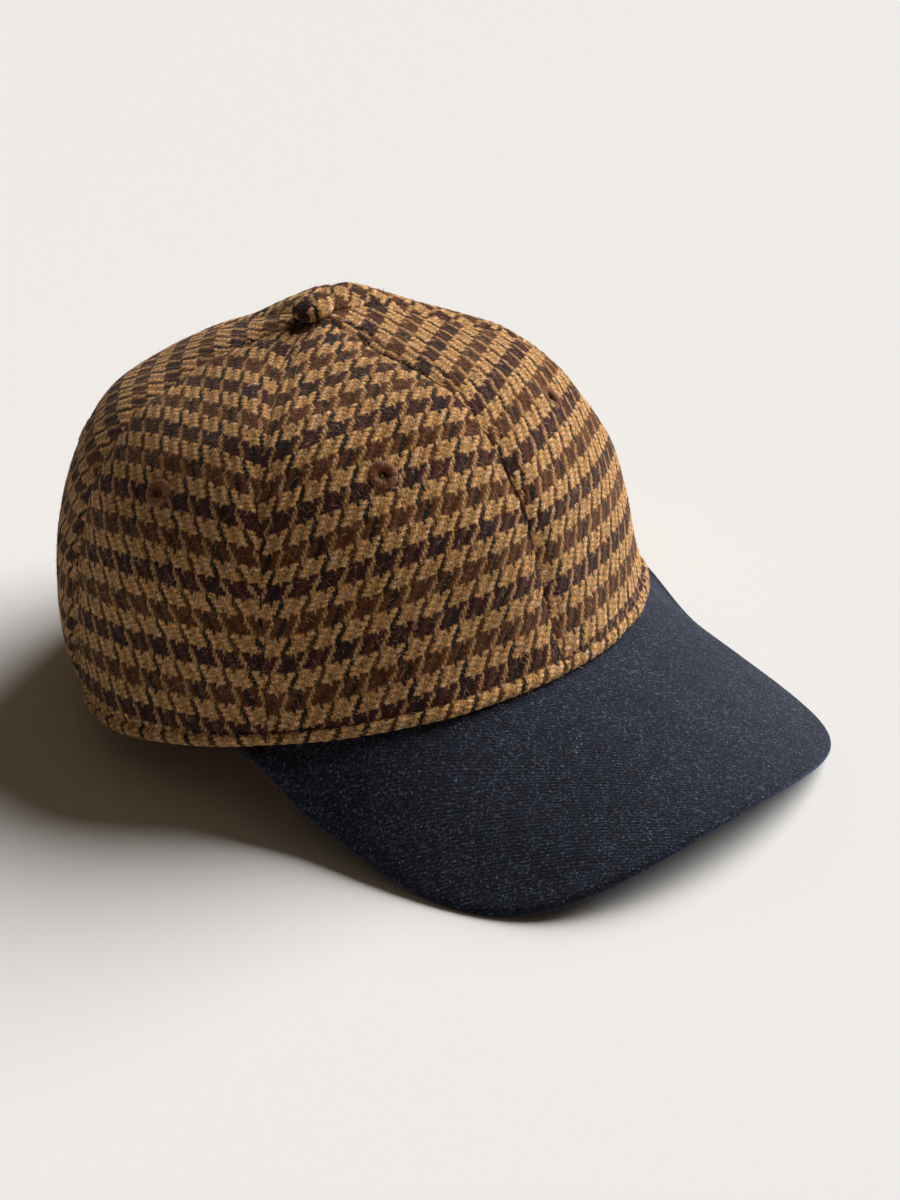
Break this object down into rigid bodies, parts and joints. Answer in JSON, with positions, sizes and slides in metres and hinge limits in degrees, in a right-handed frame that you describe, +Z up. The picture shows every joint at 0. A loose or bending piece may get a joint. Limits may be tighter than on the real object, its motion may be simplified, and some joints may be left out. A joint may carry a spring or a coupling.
{
  "type": "baseball cap",
  "caption": "Panelled cap of brown and black checked tweed with a curved navy wool peak, sewn eyelets and a cloth-covered button, lying on its hem and peak.",
  "frame": {"origin": "on the floor under the middle of the lying cap's bounding box", "axes": "+Z up; the peak points to -Y; +X is the wearer's left; x = 0 is the plane through the centre front and centre back seams"},
  "size_m": [0.1924, 0.2534, 0.1242],
  "materials": {
    "tweed": "hairy woollen twill in a tan, brown, burgundy-black and green-black check",
    "navy_wool": "matt navy melange wool with pale flecks",
    "eyelet_thread": "rust-brown embroidery thread"
  },
  "bodies": {
    "root": {"panel_front_right": "tweed", "panel_front_left": "tweed", "panel_side_right": "tweed", "panel_side_left": "tweed", "panel_back_right": "tweed", "panel_back_left": "tweed", "peak": "navy_wool", "button": "tweed", "eyelet_front_right": "eyelet_thread", "eyelet_front_left": "eyelet_thread", "eyelet_side_right": "eyelet_thread", "eyelet_side_left": "eyelet_thread", "eyelet_back_right": "eyelet_thread", "eyelet_back_left": "eyelet_thread"}
  },
  "joints": []
}
